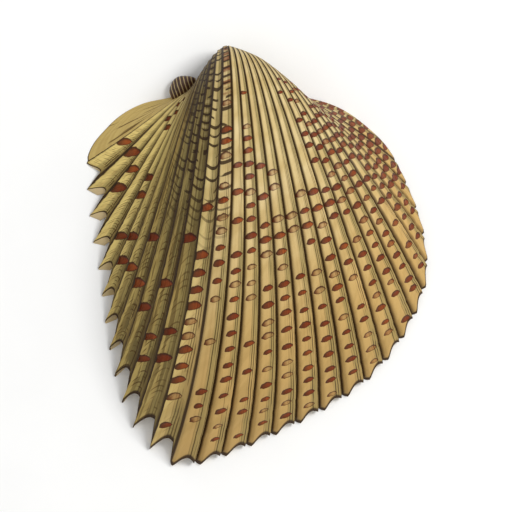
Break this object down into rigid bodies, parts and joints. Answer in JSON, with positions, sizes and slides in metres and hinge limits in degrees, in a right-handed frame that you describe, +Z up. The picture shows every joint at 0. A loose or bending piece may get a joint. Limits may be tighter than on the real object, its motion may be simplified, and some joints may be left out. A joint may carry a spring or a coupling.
{
  "type": "cockle shell",
  "caption": "Right valve of a cockle shell with strong radiating ribs and a saw-toothed hind margin, lying open side down, with its ligament behind the beak.",
  "frame": {"origin": "on the surface that the shell rests on, under the middle of its box", "axes": "+X towards the front end of the animal, +Y towards the beak, +Z up out of the convex side"},
  "size_m": [0.0504, 0.062, 0.021],
  "materials": {
    "valve": "satin shell, tan with red-brown flecks",
    "ligament": "dark brown, horny, slightly glossy"
  },
  "bodies": {
    "root": {"valve": "valve", "ligament": "ligament"}
  },
  "joints": []
}
